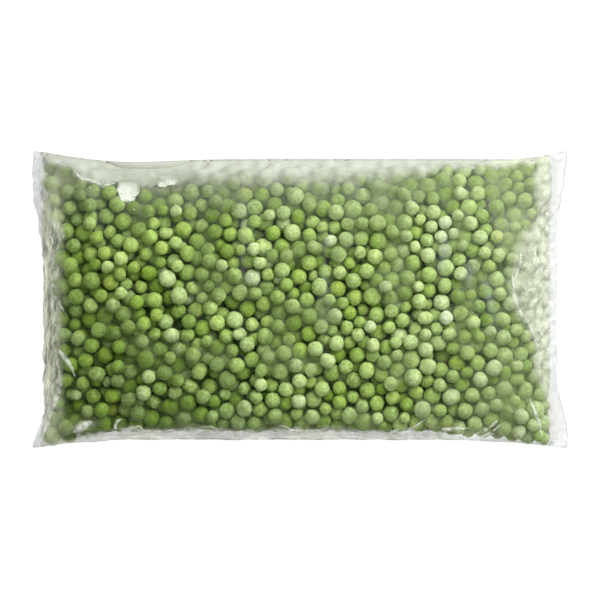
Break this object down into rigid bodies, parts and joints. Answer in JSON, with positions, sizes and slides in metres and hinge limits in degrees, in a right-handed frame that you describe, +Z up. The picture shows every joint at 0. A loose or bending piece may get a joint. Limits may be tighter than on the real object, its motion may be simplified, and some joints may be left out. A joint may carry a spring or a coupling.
{
  "type": "clear pillow bag of frozen green peas",
  "caption": "Clear film pillow bag packed with loose frozen green peas, welded flat across both ends, lying on its back face.",
  "frame": {"origin": "on the surface it lies on, under the middle of the bag's outline", "axes": "+X along the bag from the crumpled end seal to the flat one, +Y across it, +Z up out of the shown side"},
  "size_m": [0.322, 0.179, 0.0475],
  "materials": {
    "film": "clear glossy polyethylene film, close over the peas, milky where it stands clear of them and welded flat at both ends",
    "peas": "matte frozen pea skin, yellow green with pale frost, uneven from pea to pea",
    "frost": "dry white ice crystals in clumps under the film"
  },
  "bodies": {
    "root": {"filled_bag": "peas"}
  },
  "joints": []
}
